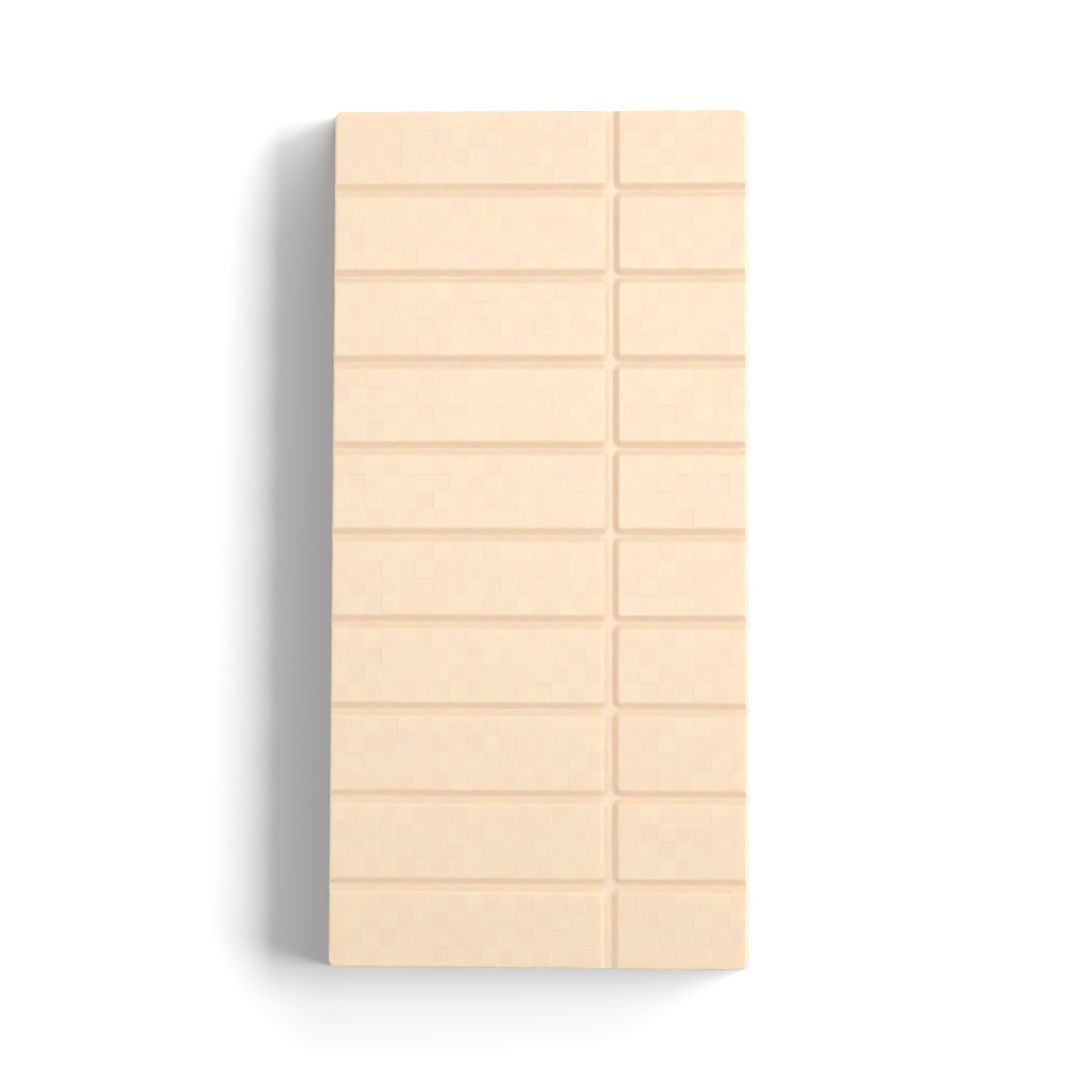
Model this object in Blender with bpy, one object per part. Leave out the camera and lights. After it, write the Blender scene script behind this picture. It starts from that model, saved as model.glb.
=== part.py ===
"""A bar of white chocolate, two columns of ten pieces, with a fine checkerboard of small tiles on top."""

import math

import bmesh
import bpy
from mathutils import Matrix, Vector

MM = 0.001

# The bar lies on its flat back: X is its width, +Y its far end and +Z up. All sizes are in millimetres.
LENGTH = 156.0
WIDTH = 76.3
THICKNESS = 7.2
DRAFT_DEG = 8.0
CORNER_RADIUS = 1.2
RIM_RADIUS = 0.3
RIM_SEGMENTS = 3
CORNER_SEGMENTS = 3

# Nine shallow grooves run across the bar and one runs along it, and each runs out through both sides. It
# has round lips, straight slopes and a round foot.
ROWS = 10
ROW_PITCH = 15.62
COLUMN_GROOVE_X = 12.9
GROOVE_DEPTH = 1.15
GROOVE_SLOPE_DEG = 48.0
LIP_RADIUS = 0.6
LIP_SEGMENTS = 3
FOOT_RADIUS = 0.3
FOOT_SEGMENTS = 2
ROW_GROOVE_WIDTH = 2.95
COLUMN_GROOVE_WIDTH = 3.4
CUTTER_OVERHANG = 5.0
LIP_CLEARANCE = 2.0
SHARP_EDGE_DEG = 40.0

# Small square tiles cover the top. Every second one stands up, and each piece starts the pattern anew.
TILE_HEIGHT = 0.05
TILE_ROOT = 0.4
TILE_SLOPE = 0.06
TILE_INSET = 0.1
TILE_ROWS = 4
TILE_ROW_PITCH = 3.1
WIDE_TILES = 16
NARROW_TILES = 7
WIDE_RAISED_PARITY = 1
NARROW_RAISED_PARITY = 0
TILE_EDGE_CLEARANCE = 0.15
FIELD_OUTER_INSET = 0.8
WIDE_FIELD_INNER_INSET = 1.34
NARROW_FIELD_INNER_INSET = 2.08

CREAM = (0.93, 0.79, 0.57, 1.0)
COCOA_BUTTER_ROUGHNESS = 0.42

PLATE_TOP = THICKNESS - TILE_HEIGHT
DRAFT_RUN = PLATE_TOP * math.tan(math.radians(DRAFT_DEG))
FLAT_HALF_WIDTH = WIDTH / 2 - DRAFT_RUN - RIM_RADIUS
FLAT_HALF_LENGTH = LENGTH / 2 - DRAFT_RUN - RIM_RADIUS


def clear_scene():
    for old in list(bpy.data.objects):
        bpy.data.objects.remove(old, do_unlink=True)


def new_collection(name):
    collection = bpy.data.collections.new(name)
    bpy.context.scene.collection.children.link(collection)
    return collection


def new_object(name, bm, collection):
    """The mesh as an object, which uses up the bmesh."""
    mesh = bpy.data.meshes.new(name)
    bm.to_mesh(mesh)
    bm.free()
    made = bpy.data.objects.new(name, mesh)
    collection.objects.link(made)
    return made


def hide(helper):
    helper.hide_render = True
    helper.display_type = "WIRE"


def add_box(bm, low, high, top_inset):
    """A box between two corners in millimetres, its top drawn in all round by the inset."""
    size = [far - near for near, far in zip(low, high)]
    middle = [(far + near) / 2 for near, far in zip(low, high)]
    place = Matrix.Translation(Vector(middle) * MM) @ Matrix.Diagonal((*[side * MM for side in size], 1))
    corners = bmesh.ops.create_cube(bm, size=1.0, matrix=place)["verts"]
    for corner in corners:
        if corner.co.z > middle[2] * MM:
            corner.co.x -= math.copysign(top_inset * MM, corner.co.x - middle[0] * MM)
            corner.co.y -= math.copysign(top_inset * MM, corner.co.y - middle[1] * MM)


def bevel_edges(bm, chosen, radius, segments):
    bmesh.ops.bevel(
        bm,
        geom=chosen,
        offset=radius * MM,
        segments=segments,
        profile=0.5,
        affect="EDGES",
        clamp_overlap=True,
    )


def rises(edge):
    return abs(edge.verts[0].co.z - edge.verts[1].co.z) > PLATE_TOP * MM / 2


def on_top(edge):
    return all(corner.co.z > (PLATE_TOP - RIM_RADIUS / 2) * MM for corner in edge.verts)


def make_slab(collection):
    """The bar before it is grooved: walls with the mould's draft, round corners and a round upper rim."""
    bm = bmesh.new()
    near_left = (-WIDTH / 2, -LENGTH / 2, 0)
    far_right = (WIDTH / 2, LENGTH / 2, PLATE_TOP)
    add_box(bm, near_left, far_right, DRAFT_RUN)
    bevel_edges(bm, [edge for edge in bm.edges if rises(edge)], CORNER_RADIUS, CORNER_SEGMENTS)
    bevel_edges(bm, [edge for edge in bm.edges if on_top(edge)], RIM_RADIUS, RIM_SEGMENTS)
    bmesh.ops.recalc_face_normals(bm, faces=bm.faces)
    return new_object("chocolate_bar", bm, collection)


def groove_side(width):
    """One side of the groove's section, from above the lip down to the floor, as points across and up."""
    slope = math.radians(GROOVE_SLOPE_DEG)
    lip = []
    for step in range(LIP_SEGMENTS + 1):
        turn = slope * step / LIP_SEGMENTS
        lip.append(Vector((width / 2 - LIP_RADIUS * math.sin(turn), LIP_RADIUS * (math.cos(turn) - 1))))
    # The first face of the lip runs on up through the plate's top, so that the cut has a clean edge there.
    clear = lip[0] + (lip[0] - lip[1]) * LIP_CLEARANCE
    above = Vector((clear.x, CUTTER_OVERHANG))
    slope_end_up = FOOT_RADIUS * (1 - math.cos(slope)) - GROOVE_DEPTH
    slope_run = (lip[-1].y - slope_end_up) / math.tan(slope)
    floor_x = lip[-1].x - slope_run - FOOT_RADIUS * math.sin(slope)
    foot = []
    for step in range(FOOT_SEGMENTS + 1):
        turn = slope * (1 - step / FOOT_SEGMENTS)
        rise = FOOT_RADIUS * (1 - math.cos(turn))
        foot.append(Vector((floor_x + FOOT_RADIUS * math.sin(turn), rise - GROOVE_DEPTH)))
    return [above, clear] + lip[1:] + foot


def groove_profile(width):
    """The groove's whole section from its left side to its right."""
    side = groove_side(width)
    mirrored = [Vector((-point.x, point.y)) for point in side]
    return mirrored + side[::-1]


def make_cutter(name, width, reach, place, collection):
    """A straight bar along Y with the groove's section, which runs past the middle by its reach both ways."""
    bm = bmesh.new()
    corners = [Vector((point.x, -reach, point.y)) * MM for point in groove_profile(width)]
    section = bm.faces.new([bm.verts.new(corner) for corner in corners])
    pushed = bmesh.ops.extrude_face_region(bm, geom=[section])["geom"]
    far_corners = [item for item in pushed if isinstance(item, bmesh.types.BMVert)]
    bmesh.ops.translate(bm, verts=far_corners, vec=(0, 2 * reach * MM, 0))
    bmesh.ops.transform(bm, matrix=place, verts=bm.verts)
    bmesh.ops.recalc_face_normals(bm, faces=bm.faces)
    cutter = new_object(name, bm, collection)
    hide(cutter)
    return cutter


def centred(count, pitch):
    """Evenly spaced places about zero."""
    return [(index - (count - 1) / 2) * pitch for index in range(count)]


def make_row_cutters(collection):
    across = Matrix.Rotation(math.pi / 2, 4, "Z")
    reach = WIDTH / 2 + CUTTER_OVERHANG
    cutters = []
    for index, y in enumerate(centred(ROWS - 1, ROW_PITCH)):
        place = Matrix.Translation((0, y * MM, PLATE_TOP * MM)) @ across
        name = f"row_groove_{index + 1}"
        cutters.append(make_cutter(name, ROW_GROOVE_WIDTH, reach, place, collection))
    return cutters


def make_column_cutter(collection):
    place = Matrix.Translation((COLUMN_GROOVE_X * MM, 0, PLATE_TOP * MM))
    reach = LENGTH / 2 + CUTTER_OVERHANG
    return make_cutter("column_groove", COLUMN_GROOVE_WIDTH, reach, place, collection)


def evenly(low, high, count):
    return [low + (high - low) * index / count for index in range(count + 1)]


def add_tiles(bm, x_edges, x_limits, y_edges, y_limits, raised_parity):
    """Stands up every second tile of one piece, cut short where its flat top ends."""
    for row in range(len(y_edges) - 1):
        for column in range(len(x_edges) - 1):
            if (row + column) % 2 != raised_parity:
                continue
            left = max(x_edges[column] + TILE_INSET, x_limits[0] + TILE_EDGE_CLEARANCE)
            right = min(x_edges[column + 1] - TILE_INSET, x_limits[1] - TILE_EDGE_CLEARANCE)
            near = max(y_edges[row] + TILE_INSET, y_limits[0] + TILE_EDGE_CLEARANCE)
            far = min(y_edges[row + 1] - TILE_INSET, y_limits[1] - TILE_EDGE_CLEARANCE)
            bottom = PLATE_TOP - TILE_ROOT
            add_box(bm, (left, near, bottom), (right, far, THICKNESS), TILE_SLOPE)


def make_tiles(collection):
    """All raised tiles as one mesh, ready to be joined to the bar."""
    bm = bmesh.new()
    wide_edges = evenly(
        FIELD_OUTER_INSET - WIDTH / 2,
        COLUMN_GROOVE_X - WIDE_FIELD_INNER_INSET,
        WIDE_TILES,
    )
    narrow_edges = evenly(
        COLUMN_GROOVE_X + NARROW_FIELD_INNER_INSET,
        WIDTH / 2 - FIELD_OUTER_INSET,
        NARROW_TILES,
    )
    wide_limits = (-FLAT_HALF_WIDTH, COLUMN_GROOVE_X - COLUMN_GROOVE_WIDTH / 2)
    narrow_limits = (COLUMN_GROOVE_X + COLUMN_GROOVE_WIDTH / 2, FLAT_HALF_WIDTH)
    flat_half_length_of_row = (ROW_PITCH - ROW_GROOVE_WIDTH) / 2
    for middle in centred(ROWS, ROW_PITCH):
        near = max(middle - flat_half_length_of_row, -FLAT_HALF_LENGTH)
        far = min(middle + flat_half_length_of_row, FLAT_HALF_LENGTH)
        tile_edges = [middle + offset for offset in centred(TILE_ROWS + 1, TILE_ROW_PITCH)]
        add_tiles(bm, wide_edges, wide_limits, tile_edges, (near, far), WIDE_RAISED_PARITY)
        add_tiles(bm, narrow_edges, narrow_limits, tile_edges, (near, far), NARROW_RAISED_PARITY)
    tiles = new_object("raised_tiles", bm, collection)
    hide(tiles)
    return tiles


def apply_boolean(target, other, operation):
    step = target.modifiers.new(other.name, "BOOLEAN")
    step.operation = operation
    step.object = other
    evaluated = target.evaluated_get(bpy.context.evaluated_depsgraph_get())
    result = bpy.data.meshes.new_from_object(evaluated)
    target.modifiers.clear()
    target.data = result


def white_chocolate():
    material = bpy.data.materials.new("white_chocolate")
    material.use_nodes = True
    shader = material.node_tree.nodes["Principled BSDF"]
    shader.inputs["Base Color"].default_value = CREAM
    shader.inputs["Roughness"].default_value = COCOA_BUTTER_ROUGHNESS
    shader.inputs["Metallic"].default_value = 0.0
    return material


def main():
    clear_scene()
    parts = new_collection("chocolate_bar")
    helpers = new_collection("cutters")
    bar = make_slab(parts)
    for cutter in make_row_cutters(helpers) + [make_column_cutter(helpers)]:
        apply_boolean(bar, cutter, "DIFFERENCE")
    tiles = make_tiles(helpers)
    apply_boolean(bar, tiles, "UNION")
    bpy.data.objects.remove(tiles, do_unlink=True)
    bar.data.name = "chocolate_bar"
    bar.data.shade_smooth()
    bar.data.set_sharp_from_angle(angle=math.radians(SHARP_EDGE_DEG))
    bar.data.materials.clear()
    bar.data.materials.append(white_chocolate())


main()
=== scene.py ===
# %% [markdown]
# # A bar of white chocolate
# The real bar is one casting. Warm white chocolate is poured into a mould, shaken level and left to
# set, so its top and its sides take the mould's shape, and its flat back is the open side of the mould.
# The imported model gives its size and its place, and this lesson gives it the fine surface.

# %% Load the frame
import math

import bpy
import numpy as np
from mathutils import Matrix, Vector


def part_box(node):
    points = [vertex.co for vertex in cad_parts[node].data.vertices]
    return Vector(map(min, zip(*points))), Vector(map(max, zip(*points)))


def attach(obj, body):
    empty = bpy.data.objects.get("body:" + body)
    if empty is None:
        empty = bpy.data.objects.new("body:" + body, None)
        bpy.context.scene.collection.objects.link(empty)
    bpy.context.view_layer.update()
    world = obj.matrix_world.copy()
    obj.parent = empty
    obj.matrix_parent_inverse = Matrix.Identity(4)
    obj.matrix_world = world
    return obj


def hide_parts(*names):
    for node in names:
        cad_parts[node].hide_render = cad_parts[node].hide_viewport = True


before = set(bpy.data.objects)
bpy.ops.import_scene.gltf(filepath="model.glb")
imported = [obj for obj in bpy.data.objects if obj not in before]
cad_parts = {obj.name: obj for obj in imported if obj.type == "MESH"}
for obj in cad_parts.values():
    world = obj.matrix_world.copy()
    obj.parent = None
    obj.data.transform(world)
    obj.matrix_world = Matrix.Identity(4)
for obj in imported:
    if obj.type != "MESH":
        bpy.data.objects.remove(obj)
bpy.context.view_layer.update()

MM = 0.001
BAR_NODE = "chocolate_bar"
bar_low, bar_high = (np.array(corner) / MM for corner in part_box(BAR_NODE))
bar_width, bar_length, bar_thickness = bar_high - bar_low
print(f"the bar is {bar_width:.1f} x {bar_length:.1f} x {bar_thickness:.1f} mm")

# %% [markdown]
# ## The sizes of the mould
# A mould for such a bar is milled from a few numbers: the pitch of the rows, the place of the long
# groove, the section of the grooves, the draft of the walls that lets the bar drop out, and the grid of
# small tiles. They are all in millimetres here. The width, length and thickness come from the frame.

# %% Sizes of the mould
ROWS = 10
ROW_PITCH = 15.62
LONG_GROOVE_X = 12.9
GROOVE_DEPTH = 1.15
GROOVE_SLOPE_DEG = 48.0
LIP_RADIUS = 0.6
FOOT_RADIUS = 0.3
ROW_GROOVE_WIDTH = 2.95
LONG_GROOVE_WIDTH = 3.4
PIECE_CORNER_RADIUS = 0.4
DRAFT_DEG = 8.0
RIM_RUN = 0.3
CORNER_RADIUS = 1.2
BACK_EDGE_RADIUS = 0.25
TILE_HEIGHT = 0.012
TILE_ROOM = 0.05
plate_top = bar_thickness - TILE_ROOM
draft_slope = math.tan(math.radians(DRAFT_DEG))
flat_half_width = bar_width / 2 - plate_top * draft_slope - RIM_RUN
flat_half_length = bar_length / 2 - plate_top * draft_slope - RIM_RUN
print(f"the flat top is {2 * flat_half_width:.2f} x {2 * flat_half_length:.2f} mm")

# %% [markdown]
# ## The section of a groove
# A groove is shallow and soft. Going out from the flat top of a piece, a round lip turns down into a
# straight slope, and a round foot turns that level again at the floor. One function gives the drop for
# any way out from the flat, so the same curve can run straight along a piece and round its corners. The
# ridges that mould the grooves reach the mould's wall, so every groove runs out through the bar's sides.

# %% Section of a groove
groove_slope = math.radians(GROOVE_SLOPE_DEG)
lip_out = LIP_RADIUS * math.sin(groove_slope)
lip_drop = LIP_RADIUS * (1 - math.cos(groove_slope))
foot_run = FOOT_RADIUS * math.sin(groove_slope)
foot_rise = FOOT_RADIUS * (1 - math.cos(groove_slope))
slope_run = (GROOVE_DEPTH - lip_drop - foot_rise) / math.tan(groove_slope)
groove_reach = lip_out + slope_run + foot_run
row_half = ROW_GROOVE_WIDTH / 2
long_half = LONG_GROOVE_WIDTH / 2
print(f"a side of a groove reaches {groove_reach:.2f} mm, and the row grooves have {row_half:.2f} mm for it")
assert groove_reach <= row_half


def groove_drop(way):
    """How far the surface has dropped at some way out from the flat top of a piece."""
    in_lip = LIP_RADIUS - np.sqrt(LIP_RADIUS**2 - np.clip(way, 0, lip_out) ** 2)
    on_slope = lip_drop + (way - lip_out) * math.tan(groove_slope)
    to_floor = np.clip(groove_reach - way, 0, foot_run)
    in_foot = GROOVE_DEPTH - FOOT_RADIUS + np.sqrt(FOOT_RADIUS**2 - to_floor**2)
    return np.where(way < lip_out, in_lip, np.where(way < lip_out + slope_run, on_slope, in_foot))


# %% [markdown]
# ## The outer wall
# At the outside of the bar a tight round rim turns down into the wall, which leans out by the draft, and
# a small rounding ends it at the back. Each ring of the wall has its way out from the flat top and its
# drop. The first rings lie on the flat top itself, so that the bar's corners can start to round there, and
# a few lie close together where the open ends of the grooves notch the wall.

# %% Rings of the outer wall
INNER_STOPS = (1.0, 0.7, 0.42, 0.18)
RIM_STEPS = 5
NOTCH_STEPS = 4
NOTCH_ROOM = 0.4
WALL_STEPS = 3
WALL_FOOT = 0.7
BACK_EDGE_TURNS_DEG = (0.0, 30.0, 60.0, 90.0)


def evenly(low, high, count):
    return [low + (high - low) * index / count for index in range(count + 1)]


def wall_rings():
    """The rings from the flat top to the back, as pairs of way out and drop."""
    steepness = math.pi / 2 - math.radians(DRAFT_DEG)
    rim_radius = RIM_RUN / math.tan(steepness / 2)
    rings = [(-stop, 0.0) for stop in INNER_STOPS]
    for step in range(RIM_STEPS + 1):
        turn = steepness * step / RIM_STEPS
        rings.append((rim_radius * math.sin(turn), rim_radius * (1 - math.cos(turn))))
    rim_out, rim_drop = rings[-1]
    notch_drop = GROOVE_DEPTH + NOTCH_ROOM
    drops = evenly(rim_drop, notch_drop, NOTCH_STEPS)[1:]
    drops += evenly(notch_drop, plate_top - WALL_FOOT, WALL_STEPS)[1:]
    rings += [(rim_out + (drop - rim_drop) * draft_slope, drop) for drop in drops]
    foot_out = rim_out + (plate_top - rim_drop - BACK_EDGE_RADIUS) * draft_slope
    for turn_deg in BACK_EDGE_TURNS_DEG:
        turn = math.radians(turn_deg)
        out = foot_out - BACK_EDGE_RADIUS * (1 - math.cos(turn))
        rings.append((out, plate_top - BACK_EDGE_RADIUS * (1 - math.sin(turn))))
    return rings


wall_out, wall_drop = (np.array(column) for column in zip(*wall_rings()))
print(f"{len(wall_out)} rings down an outer wall, {wall_drop[-1]:.2f} mm in all")

# %% [markdown]
# ## Grid lines
# The top is one sheet of faces on lines that cross it both ways. Lines are dear, so they go where the
# shape turns: over every lip and foot, and in sets of four on each edge of the tiles. Two of the four lie
# just past the step, so that its shade ends there and doesn't spread over the tile. A line knows its
# place, its side of the bar and its ring of the wall, or none.

# %% Grid lines
TILE_STEP_WIDTH = 0.10
EDGE_LINES = (-0.95, -0.4, 0.4, 0.95)
LIP_LINES = (-0.45, -0.15, 0.0, 0.2, 0.4, 0.6, 0.8, 1.0)
SLOPE_LINES = (0.33, 0.67)
FOOT_LINES = (0.0, 0.35, 0.7, 1.0)
SMALLEST_GAP = 0.04
GROOVE_MARGIN = 0.1
NO_RING = -1


def wall_lines(flat_edge, side):
    """Lines over one outer side of the bar, in rising order."""
    lines = [(flat_edge + side * out, side, ring) for ring, out in enumerate(wall_out)]
    return lines[::side]


def groove_places(middle, half_width):
    """Places over both sides of a groove and along its floor."""
    ways = [share * lip_out for share in LIP_LINES]
    ways += [lip_out + share * slope_run for share in SLOPE_LINES]
    ways += [lip_out + slope_run + share * foot_run for share in FOOT_LINES]
    offsets = [half_width - way for way in ways]
    return [middle + offset for offset in offsets] + [middle - offset for offset in offsets] + [middle]


def tile_places(edges):
    """Places of the lines over the tile edges."""
    return [edge + share * TILE_STEP_WIDTH for edge in edges for share in EDGE_LINES]


def grid_lines(flat_half, grooves, edges):
    """All lines of one direction: wall, inner lines, wall."""
    inner_limit = flat_half - INNER_STOPS[0]
    places = []
    for middle, half_width in grooves:
        places += groove_places(middle, half_width)
    for place in tile_places(edges):
        if all(abs(place - middle) > half_width + GROOVE_MARGIN for middle, half_width in grooves):
            places.append(place)
    inner = [(-inner_limit, -1, 0)]
    for place in sorted(places):
        if inner[-1][0] + SMALLEST_GAP < place < inner_limit - SMALLEST_GAP:
            inner.append((place, 0, NO_RING))
    return wall_lines(-flat_half, -1)[:-1] + inner + wall_lines(flat_half, 1)


# %% Lines across and along the bar
TILE_ROWS = 4
TILE_ROW_PITCH = 3.1
WIDE_TILES = 16
NARROW_TILES = 7
FIELD_OUTER_INSET = 0.8
WIDE_FIELD_INNER_INSET = 1.34
NARROW_FIELD_INNER_INSET = 2.08
field_edge = bar_width / 2 - FIELD_OUTER_INSET
wide_edges = evenly(-field_edge, LONG_GROOVE_X - WIDE_FIELD_INNER_INSET, WIDE_TILES)
narrow_edges = evenly(LONG_GROOVE_X + NARROW_FIELD_INNER_INSET, field_edge, NARROW_TILES)
row_middles = [(row - (ROWS - 1) / 2) * ROW_PITCH for row in range(ROWS)]
row_groove_places = [middle + ROW_PITCH / 2 for middle in row_middles[:-1]]
row_tile_edges = [(step - TILE_ROWS / 2) * TILE_ROW_PITCH for step in range(TILE_ROWS + 1)]
x_lines = grid_lines(flat_half_width, [(LONG_GROOVE_X, long_half)], wide_edges + narrow_edges)
y_lines = grid_lines(
    flat_half_length,
    [(place, row_half) for place in row_groove_places],
    [middle + edge for middle in row_middles for edge in row_tile_edges],
)
print(f"tiles are {wide_edges[1] - wide_edges[0]:.2f} and {narrow_edges[1] - narrow_edges[0]:.2f} mm wide")
print(f"{len(x_lines)} lines across the bar and {len(y_lines)} along it")

# %% [markdown]
# ## From lines to points
# A point stands where two lines cross. Only at the bar's own four corners do the lines have to bend:
# each ring of the wall is drawn in there by a superellipse, from a square corner on the flat top to the
# mould's round one.

# %% Points of the top
TINY = 1e-9
LEAST_ROUNDNESS = 0.05
place_x, side_x, ring_x = (np.array(column)[:, None] for column in zip(*x_lines))
place_y, side_y, ring_y = (np.array(column)[None, :] for column in zip(*y_lines))
ring = np.maximum(ring_x, ring_y)
ring_reach = wall_out - wall_out[0]
round_part = np.minimum(ring_reach, CORNER_RADIUS) / np.maximum(ring_reach, TINY)
roundness = np.clip(round_part, LEAST_ROUNDNESS, 1.0)
corner_power = math.log(2) / -np.log(1 - (1 - math.sqrt(0.5)) * roundness)
on_corner = (ring_x > NO_RING) & (ring_y > NO_RING) & (ring > 0)
centre_x = side_x * (flat_half_width - INNER_STOPS[0])
centre_y = side_y * (flat_half_length - INNER_STOPS[0])
reach = np.maximum(ring_reach[ring], TINY)
share_x = np.where(on_corner, np.abs(place_x - centre_x) / reach, 1.0)
share_y = np.where(on_corner, np.abs(place_y - centre_y) / reach, 1.0)
power = corner_power[ring]
pull = np.where(on_corner, (share_x**power + share_y**power) ** (-1 / power), 1.0)
plan_x = np.where(on_corner, centre_x + (place_x - centre_x) * pull, place_x + 0 * place_y)
plan_y = np.where(on_corner, centre_y + (place_y - centre_y) * pull, place_y + 0 * place_x)
print(f"{plan_x.size} points on the top, {int(on_corner.sum())} of them at the bar's corners")

# %% [markdown]
# ## From points to a surface
# Each point takes the lower of two drops, the wall's and the groove's. A power mean with a high power
# does that, and rounds the edge a little where a groove runs out through the wall.

# %% Drops of the points
NOTCH_POWER = 6
way_x = long_half - np.abs(plan_x - LONG_GROOVE_X)
row_groove_number = np.clip(np.round(plan_y / ROW_PITCH), -(ROWS // 2 - 1), ROWS // 2 - 1)
way_y = row_half - np.abs(plan_y - row_groove_number * ROW_PITCH)
round_x = np.maximum(way_x + PIECE_CORNER_RADIUS, 0)
round_y = np.maximum(way_y + PIECE_CORNER_RADIUS, 0)
corner_way = np.hypot(round_x, round_y) - PIECE_CORNER_RADIUS
way_out = np.where((round_x > 0) & (round_y > 0), corner_way, np.maximum(way_x, way_y))


def smooth(share):
    share = np.clip(share, 0.0, 1.0)
    return share * share * (3 - 2 * share)


way_in = np.minimum(flat_half_width - np.abs(plan_x), flat_half_length - np.abs(plan_y))
outer_drop = np.where(ring > NO_RING, wall_drop[ring], 0.0)
inner_drop = np.maximum(groove_drop(way_out), 0.0)
drop = (outer_drop**NOTCH_POWER + inner_drop**NOTCH_POWER) ** (1 / NOTCH_POWER)
print(f"the grooves are {(drop - outer_drop).max():.2f} mm deep at the most")

# %% [markdown]
# ## Tiles
# The pattern is a plain checkerboard. Going along the bar a wave flips between plus and minus one at
# each tile edge, going across another wave does, and their product is plus one on the tiles that stand
# up and minus one on the ones between. No cast tile is quite level, so each also gets a small lean and
# a small change of height of its own, from a seeded draw. Every point also keeps a tone that the
# material reads later: each tile's own tone from a seeded draw, plus painted light and shade that makes
# the raised tiles a step lighter and the sunken ones a step darker.

# %% Tile relief
TILE_SEED = 5
TILE_LEAN = 0.001
TILE_JITTER = 0.015
# painted light and shade: the step that makes raised tiles lighter and sunken tiles darker
PAINTED_SHADE_STEP = 0.24
TONE_JITTER = 0.32
RELIEF_FADE = 0.5
WIDE_SIGN, NARROW_SIGN = -1, 1
draw = np.random.default_rng(TILE_SEED)


def tile_wave(place, first, pitch):
    """A wave of plus and minus one with soft steps, the tile's number and the way from its middle."""
    along = (place - first) / pitch
    edge = np.round(along)
    step = np.clip((along - edge) * pitch / (TILE_STEP_WIDTH / 2), -1, 1)
    wave = np.where(edge % 2 == 0, 1, -1) * step * (1.5 - 0.5 * step * step)
    number = np.floor(along).astype(int)
    return wave, number, (along - number - 0.5) * pitch


in_narrow = plan_x > LONG_GROOVE_X
tile_first = np.where(in_narrow, narrow_edges[0], wide_edges[0])
tile_pitch = np.where(in_narrow, narrow_edges[1] - narrow_edges[0], wide_edges[1] - wide_edges[0])
row_number = np.clip(np.round(plan_y / ROW_PITCH + (ROWS - 1) / 2), 0, ROWS - 1).astype(int)
row_middle = (row_number - (ROWS - 1) / 2) * ROW_PITCH
x_wave, x_number, x_off = tile_wave(plan_x, tile_first, tile_pitch)
y_wave, y_number, y_off = tile_wave(plan_y - row_middle, row_tile_edges[0], TILE_ROW_PITCH)
raised = 0.5 + 0.5 * np.where(in_narrow, NARROW_SIGN, WIDE_SIGN) * x_wave * y_wave
tile_key = (
    row_number,
    np.clip(y_number, 0, TILE_ROWS - 1),
    np.clip(x_number, 0, WIDE_TILES - 1) + np.where(in_narrow, WIDE_TILES, 0),
)
tile_shape = (ROWS, TILE_ROWS, 2 * WIDE_TILES)
lean_x, lean_y = (draw.normal(0, TILE_LEAN, tile_shape)[tile_key] for _ in range(2))
jitter = draw.normal(0, TILE_JITTER, tile_shape)[tile_key]
body_of_tile = np.abs(x_wave * y_wave)
fade = smooth(way_in / RELIEF_FADE) * smooth(0.5 - way_out / RELIEF_FADE)
relief = fade * (TILE_HEIGHT * raised + body_of_tile * (jitter + lean_x * x_off + lean_y * y_off))
height = np.clip(plate_top - drop + relief, 0.0, bar_thickness)
# each tile's own random tone, plus a painted step of light on the raised tiles and shade on the sunken ones
tone_draw = draw.normal(0, TONE_JITTER, tile_shape)[tile_key]
tile_tone_and_shade = fade * body_of_tile * (PAINTED_SHADE_STEP * (2 * raised - 1) + tone_draw)
print(f"tiles stand up by {height.max() - plate_top:.3f} mm at the most")

# %% [markdown]
# ## The back
# The back is where the chocolate was scraped level and set in the open. It is flat with faint long
# waves. It needs far fewer faces than the top, so it takes every few lines only, and a border of
# faces with many corners joins it to the fine rim.

# %% Faces of the bar
BACK_INSET = 1.4
BACK_STEP = 4
BACK_EVENNESS = 0.35
BACK_WAVE = 0.05
BACK_FADE = 0.08
LONG_WAVE = (9.0, 13.0)
LONG_WAVE_START = (0.8, 0.3)
LONG_WAVE_SHARE = 0.35
SHORT_WAVE = (4.1, 6.3)
SHORT_WAVE_SHARE = 0.15
count_x, count_y = plan_x.shape
points = np.stack([plan_x, plan_y, height], axis=-1).reshape(-1, 3)
index = np.arange(count_x * count_y).reshape(count_x, count_y)
top_faces = np.stack([index[:-1, :-1], index[1:, :-1], index[1:, 1:], index[:-1, 1:]], axis=-1)
faces = top_faces.reshape(-1, 4).tolist()


def coarse(count):
    """Every few numbers of a row, with its first and its last."""
    kept = list(range(0, count - 1, BACK_STEP))
    return kept + [count - 1]


keep_x, keep_y = coarse(count_x), coarse(count_y)


def spread(places, half_size):
    """Places from minus one to one that follow the top's lines, but more evenly."""
    shares = np.interp(places, (-half_size, half_size), (-1, 1))
    even = np.linspace(-1, 1, len(places))
    return even * BACK_EVENNESS + shares / np.abs(shares).max() * (1 - BACK_EVENNESS)


back_x = spread(plan_x[keep_x, count_y // 2], bar_width / 2)
back_y = spread(plan_y[count_x // 2, keep_y], bar_length / 2)
back_plan_x = (back_x * (bar_width / 2 - BACK_INSET))[:, None] + 0 * back_y[None, :]
back_plan_y = (back_y * (bar_length / 2 - BACK_INSET))[None, :] + 0 * back_x[:, None]
long_wave = np.sin(back_plan_x / LONG_WAVE[0] + LONG_WAVE_START[0])
long_wave = long_wave * np.sin(back_plan_y / LONG_WAVE[1] + LONG_WAVE_START[1])
short_wave = np.sin(back_plan_x / SHORT_WAVE[0] + back_plan_y / SHORT_WAVE[1])
edge_way = np.minimum(1 - np.abs(back_x)[:, None], 1 - np.abs(back_y)[None, :])
waves = 0.5 + LONG_WAVE_SHARE * long_wave + SHORT_WAVE_SHARE * short_wave
back_height = BACK_WAVE * waves * smooth(edge_way / BACK_FADE)
back_points = np.stack([back_plan_x, back_plan_y, back_height], axis=-1).reshape(-1, 3)
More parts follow.
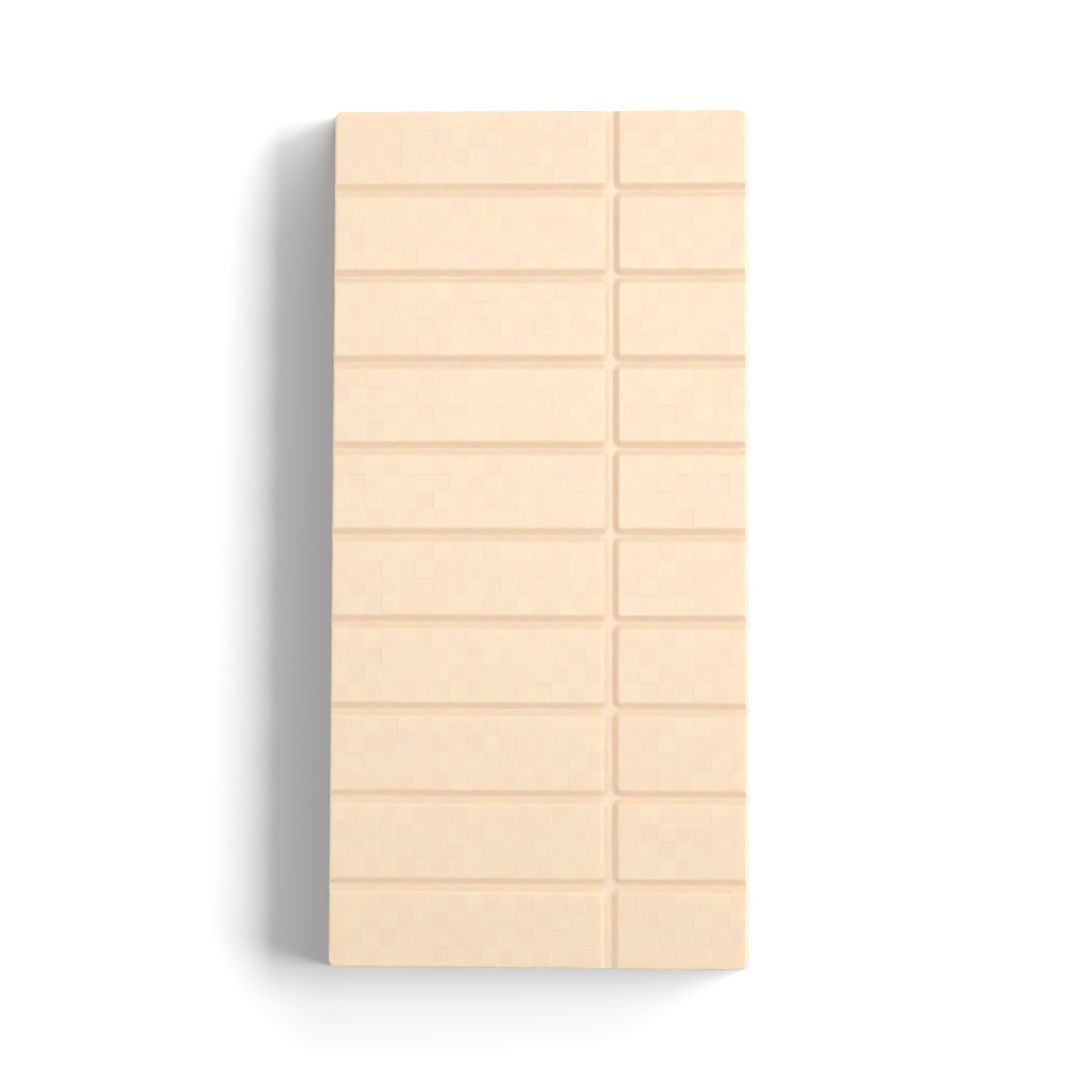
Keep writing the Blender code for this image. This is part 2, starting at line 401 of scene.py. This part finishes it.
back_index = (np.arange(len(back_points)) + len(points)).reshape(back_plan_x.shape)
back_quads = np.stack(
    [back_index[:-1, :-1], back_index[:-1, 1:], back_index[1:, 1:], back_index[1:, :-1]], axis=-1
)
faces += back_quads.reshape(-1, 4).tolist()


def border_faces(fine, kept, inner):
    """Faces with many corners between the fine rim and the coarse back, along one side."""
    made = []
    for place, (start, end) in enumerate(zip(kept, kept[1:])):
        rim = [int(fine[step]) for step in range(start, end + 1)]
        made.append(rim[::-1] + [int(inner[place]), int(inner[place + 1])])
    return made


faces += border_faces(index[:, 0], keep_x, back_index[:, 0])
faces += [face[::-1] for face in border_faces(index[:, -1], keep_x, back_index[:, -1])]
faces += [face[::-1] for face in border_faces(index[0], keep_y, back_index[0])]
faces += border_faces(index[-1], keep_y, back_index[-1])
all_points = np.concatenate([points, back_points]) * MM
print(f"{len(all_points)} points and {len(faces)} faces")

# %% The bar as an object
TONE_AND_SHADE_NAME = "tile_tone_and_shade"
bar_mesh = bpy.data.meshes.new("white_chocolate_bar")
bar_mesh.from_pydata(all_points.tolist(), [], faces)
bar_mesh.validate()
bar_mesh.update()
bar_mesh.shade_smooth()
# this attribute carries the tiles' random tones and their painted light and shade
tone = bar_mesh.attributes.new(TONE_AND_SHADE_NAME, "FLOAT", "POINT")
tone.data.foreach_set("value", np.append(tile_tone_and_shade.ravel(), np.zeros(len(back_points))))
bar = bpy.data.objects.new("white_chocolate_bar", bar_mesh)
bpy.context.scene.collection.objects.link(bar)
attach(bar, "root")
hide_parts(BAR_NODE)
print(f"the bar replaces {BAR_NODE} and keeps a tone from {tile_tone_and_shade.min():.2f} to {tile_tone_and_shade.max():.2f}")

# %% [markdown]
# ## White chocolate
# White chocolate is cocoa butter, milk powder and sugar. It is cream coloured, a little translucent, and
# satin where the mould was polished. Light that enters it comes out a millimetre or two away, red light
# the furthest, which softens small edges and warms the shade in the grooves, so the shader scatters light
# below the surface. An attribute node reads the tiles' own tones and their painted light and shade, raised
# tiles lighter and sunken ones darker, and adds them to soft clouds of colour.

# %% The material
CREAM_LIGHT = (0.976, 0.772, 0.596, 1.0)
CREAM_DEEP = (0.956, 0.748, 0.575, 1.0)
SATIN_LOW = 0.37
SATIN_HIGH = 0.42
SCATTER_MM = 1.5
SCATTER_RADII = (1.2, 0.6, 0.15)
CLOUD_SCALE = 0.11
GRAIN_SCALE = 1.6
GRAIN_STRENGTH = 0.25
GRAIN_HEIGHT = 0.02
COCOA_BUTTER_IOR = 1.46


def new_node(tree, kind, **values):
    """A shader node with some of its inputs set."""
    node = tree.nodes.new(kind)
    for name, value in values.items():
        node.inputs[name].default_value = value
    return node


def colour_mix(tree, low, high, factor):
    """A mix of two colours by a factor, and its colour output."""
    mix = tree.nodes.new("ShaderNodeMix")
    mix.data_type = "RGBA"
    low_input, high_input = [socket for socket in mix.inputs if socket.type == "RGBA"]
    low_input.default_value = low
    high_input.default_value = high
    tree.links.new(factor, mix.inputs["Factor"])
    return [socket for socket in mix.outputs if socket.type == "RGBA"][0]


def make_white_chocolate():
    material = bpy.data.materials.new("white_chocolate")
    material.use_nodes = True
    tree = material.node_tree
    link = tree.links.new
    shader = tree.nodes["Principled BSDF"]
    shader.inputs["Subsurface Weight"].default_value = 1.0
    shader.inputs["Subsurface Scale"].default_value = SCATTER_MM * MM
    shader.inputs["Subsurface Radius"].default_value = SCATTER_RADII
    shader.inputs["IOR"].default_value = COCOA_BUTTER_IOR
    place = tree.nodes.new("ShaderNodeTexCoord")
    in_mm = new_node(tree, "ShaderNodeMapping", Scale=(1 / MM, 1 / MM, 1 / MM))
    link(place.outputs["Object"], in_mm.inputs["Vector"])
    clouds = new_node(tree, "ShaderNodeTexNoise", Scale=CLOUD_SCALE, Detail=4.0, Roughness=0.55)
    link(in_mm.outputs["Vector"], clouds.inputs["Vector"])
    # reads the tiles' random tones together with their painted light and shade
    tone_and_shade_node = tree.nodes.new("ShaderNodeAttribute")
    tone_and_shade_node.attribute_name = TONE_AND_SHADE_NAME
    toned_and_shaded = tree.nodes.new("ShaderNodeMath")
    link(clouds.outputs["Fac"], toned_and_shaded.inputs[0])
    link(tone_and_shade_node.outputs["Fac"], toned_and_shaded.inputs[1])
    cream = colour_mix(tree, CREAM_DEEP, CREAM_LIGHT, toned_and_shaded.outputs["Value"])
    link(cream, shader.inputs["Base Color"])
    satin = new_node(tree, "ShaderNodeMapRange", **{"To Min": SATIN_LOW, "To Max": SATIN_HIGH})
    link(clouds.outputs["Fac"], satin.inputs["Value"])
    link(satin.outputs["Result"], shader.inputs["Roughness"])
    grain = new_node(tree, "ShaderNodeTexNoise", Scale=GRAIN_SCALE, Detail=3.0, Roughness=0.6)
    link(in_mm.outputs["Vector"], grain.inputs["Vector"])
    bump = new_node(tree, "ShaderNodeBump", Strength=GRAIN_STRENGTH, Distance=GRAIN_HEIGHT * MM)
    link(grain.outputs["Fac"], bump.inputs["Height"])
    link(bump.outputs["Normal"], shader.inputs["Normal"])
    return material


bar_mesh.materials.append(make_white_chocolate())
print(f"white chocolate with {len(bar_mesh.materials[0].node_tree.nodes)} shader nodes")

# %% [markdown]
# ## Floor, light and camera
# The bar lies on a plain pale floor. The photo's light does two jobs, and here each has its own lamps.
# Low wide lamps from the right and the far right throw the bar's long soft shadow, a small one overhead
# lightens it, and all three are linked to the floor alone. The bar itself is lit softly from above, with
# a warm glow from all round and a key from the right, so that its shallow grooves show by their far and
# right slopes. One more lamp low on the right gives the bar its gloss alone, so its light on matt
# surfaces is turned off.

# %% Floor
FLOOR_SIZE = 8.0
FLOOR_DROP = 0.00005
FLOOR_COLOUR = (0.268, 0.300, 0.3226, 1.0)


def make_floor():
    bpy.ops.mesh.primitive_plane_add(size=FLOOR_SIZE, location=(0, 0, -FLOOR_DROP))
    floor = bpy.context.object
    floor.name = "floor"
    material = bpy.data.materials.new("pale_floor")
    material.use_nodes = True
    shader = material.node_tree.nodes["Principled BSDF"]
    shader.inputs["Base Color"].default_value = FLOOR_COLOUR
    shader.inputs["Roughness"].default_value = 1.0
    shader.inputs["Specular IOR Level"].default_value = 0.0
    floor.data.materials.append(material)
    return floor


floor = make_floor()
print(f"the floor is {FLOOR_SIZE:.0f} m wide")

# %% Lights
WHITE = (1.0, 1.0, 1.0)
FLOOR_LIGHT = (1.12, 1.0, 0.93)
KEY_COLOUR = (0.968, 1.0, 1.025)
TOP_COLOUR = (0.958, 1.0, 1.015)
SKY_COLOUR = (1.12, 1.0, 0.93, 1.0)
SKY = 0.36
KEY_AZIMUTH = 15.0
KEY_RISE = 55.0
KEY_DISTANCE = 1.4
KEY_SIZE = 0.7
KEY_WATTS = 6.4
TOP_AZIMUTH = 88.0
TOP_RISE = 81.5
TOP_DISTANCE = 0.8
TOP_SIZE = 0.3
TOP_WATTS = 2.46
WIDE_LAMP_DISTANCE = 3.1
WIDE_LAMP_SIZE = (2.4, 1.36)
SHEEN_AZIMUTH = 5.0
SHEEN_RISE = 16.0
SHEEN_WATTS = 80.0
FLOOR_LAMPS = (
    ("floor_side", 5.0, 20.0, WIDE_LAMP_DISTANCE, WIDE_LAMP_SIZE, 627.0),
    ("floor_far", 54.0, 14.4, 1.4, (1.64, 0.33), 104.7),
    ("floor_top", 180.0, 86.0, 1.2, (0.18, 0.18), 12.0),
)


def lit_group(name, thing):
    """A collection that a lamp can be linked to, so that it lights this thing alone."""
    group = bpy.data.collections.new(name)
    group.objects.link(thing)
    return group


def soft_lamp(name, azimuth_deg, rise_deg, distance, size, watts, colour, lit):
    """A rectangle of light that faces the bar from an azimuth counted from +X and a rise over the floor."""
    data = bpy.data.lights.new(name, "AREA")
    data.shape = "RECTANGLE"
    data.size, data.size_y = size
    data.energy = watts
    data.color = colour
    lamp = bpy.data.objects.new(name, data)
    azimuth, rise = math.radians(azimuth_deg), math.radians(rise_deg)
    ground = distance * math.cos(rise)
    lamp.location = (ground * math.cos(azimuth), ground * math.sin(azimuth), distance * math.sin(rise))
    lamp.rotation_euler = (-lamp.location).to_track_quat("-Z", "Y").to_euler()
    lamp.visible_camera = False
    lamp.light_linking.receiver_collection = lit
    bpy.context.scene.collection.objects.link(lamp)
    return lamp


on_floor = lit_group("lit_floor", floor)
on_bar = lit_group("lit_bar", bar)
BAR_LAMPS = (
    ("key", KEY_AZIMUTH, KEY_RISE, KEY_DISTANCE, (KEY_SIZE, KEY_SIZE), KEY_WATTS, KEY_COLOUR),
    ("top", TOP_AZIMUTH, TOP_RISE, TOP_DISTANCE, (TOP_SIZE, TOP_SIZE), TOP_WATTS, TOP_COLOUR),
    ("sheen", SHEEN_AZIMUTH, SHEEN_RISE, WIDE_LAMP_DISTANCE, WIDE_LAMP_SIZE, SHEEN_WATTS, WHITE),
)
for lamp_values in FLOOR_LAMPS:
    soft_lamp(*lamp_values, FLOOR_LIGHT, on_floor)
for lamp_values in BAR_LAMPS:
    soft_lamp(*lamp_values, on_bar)
bpy.data.objects["sheen"].visible_diffuse = False
world = bpy.data.worlds.new("studio")
world.use_nodes = True
glow = world.node_tree.nodes["Background"]
glow.inputs["Color"].default_value = SKY_COLOUR
glow.inputs["Strength"].default_value = SKY
bpy.context.scene.world = world
print(f"{len(bpy.data.lights)} lamps and a glow of {SKY} from all round")

# %% Camera
CAMERA_PLACE_MM = (14.303, -22.072, 418.930)
CAMERA_TURN = (0.051520, 0.033931, 0.003831)
LENS_MM = 76.667
SENSOR_MM = 36.0
camera_data = bpy.data.cameras.new("camera")
camera_data.lens = LENS_MM
camera_data.sensor_width = SENSOR_MM
camera = bpy.data.objects.new("camera", camera_data)
camera.location = [value * MM for value in CAMERA_PLACE_MM]
camera.rotation_euler = CAMERA_TURN
bpy.context.scene.collection.objects.link(camera)
bpy.context.scene.camera = camera
bpy.context.scene.view_settings.view_transform = "Standard"
print(f"the camera looks down from {CAMERA_PLACE_MM[2]:.0f} mm with a lens of {LENS_MM:.0f} mm")
